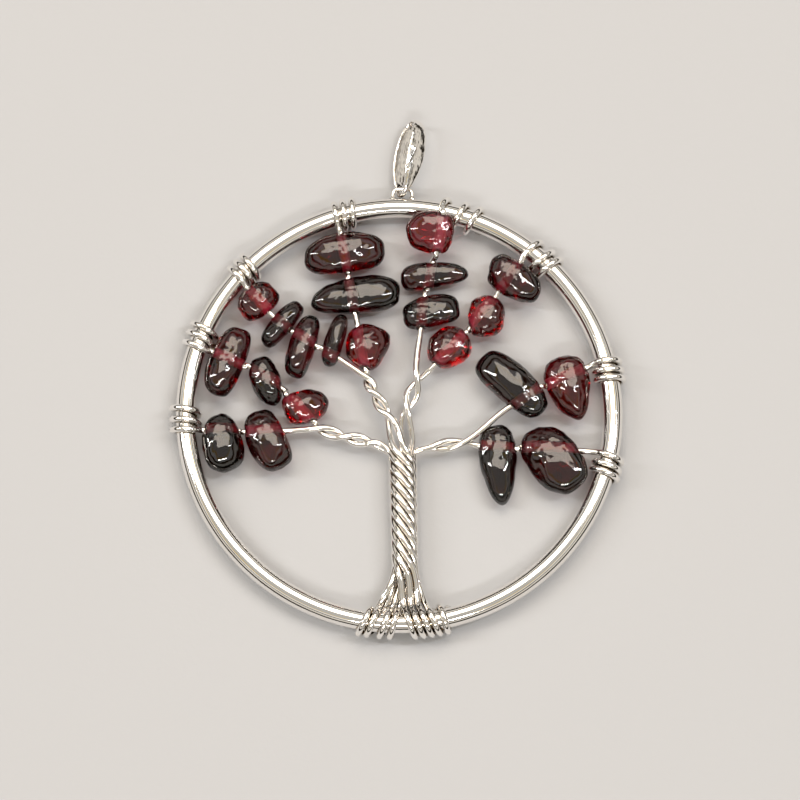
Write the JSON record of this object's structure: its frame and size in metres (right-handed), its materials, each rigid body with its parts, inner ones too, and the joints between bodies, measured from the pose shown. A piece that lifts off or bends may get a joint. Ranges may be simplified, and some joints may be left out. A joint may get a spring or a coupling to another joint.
{
  "type": "tree of life pendant",
  "caption": "Round wire hoop pendant with a twisted wire tree strung with dark red drilled stone chips, an eye and a swinging strip bail for a chain.",
  "frame": {"origin": "under the middle of the whole pendant's outline, on the surface that it rests on", "axes": "+Y toward the bail, +Z out of the pendant's face, +X to the right seen from the face"},
  "size_m": [0.0512, 0.06, 0.0046],
  "materials": {
    "hoop_metal": "bright silver plate on brass rod, polished, with faint drawing lines along the rod",
    "bail_metal": "bright silver plate on pressed brass strip, polished, slightly uneven",
    "wire_metal": "bright silver plate on soft copper wire, polished, with slight kinks and tool marks",
    "stone": "tumbled garnet chip, very dark red to purple brown, glassy polish, lit red in its thin edges and along its drilled hole"
  },
  "bodies": {
    "pendant": {"hoop": "hoop_metal", "wire_left_low": "wire_metal", "wire_left_high": "wire_metal", "wire_upper_left": "wire_metal", "wire_top_left": "wire_metal", "wire_top": "wire_metal", "wire_upper_right": "wire_metal", "wire_right_high": "wire_metal", "wire_right_low": "wire_metal", "chip_1": "stone", "chip_2": "stone", "chip_3": "stone", "chip_4": "stone", "chip_5": "stone", "chip_6": "stone", "chip_7": "stone", "chip_8": "stone", "chip_9": "stone", "chip_10": "stone", "chip_11": "stone", "chip_12": "stone", "chip_13": "stone", "chip_14": "stone", "chip_15": "stone", "chip_16": "stone", "chip_17": "stone", "chip_18": "stone", "chip_19": "stone", "chip_20": "stone", "chip_21": "stone", "chip_22": "stone"},
    "bail": {"bail": "bail_metal"}
  },
  "joints": [
    {"name": "bail_swing", "type": "hinge", "parent": "pendant", "child": "bail", "pos_m": [0.00049, 0.02182, 0.00187], "axis": [1, 0, 0], "range_deg": [-80, 80]}
  ]
}
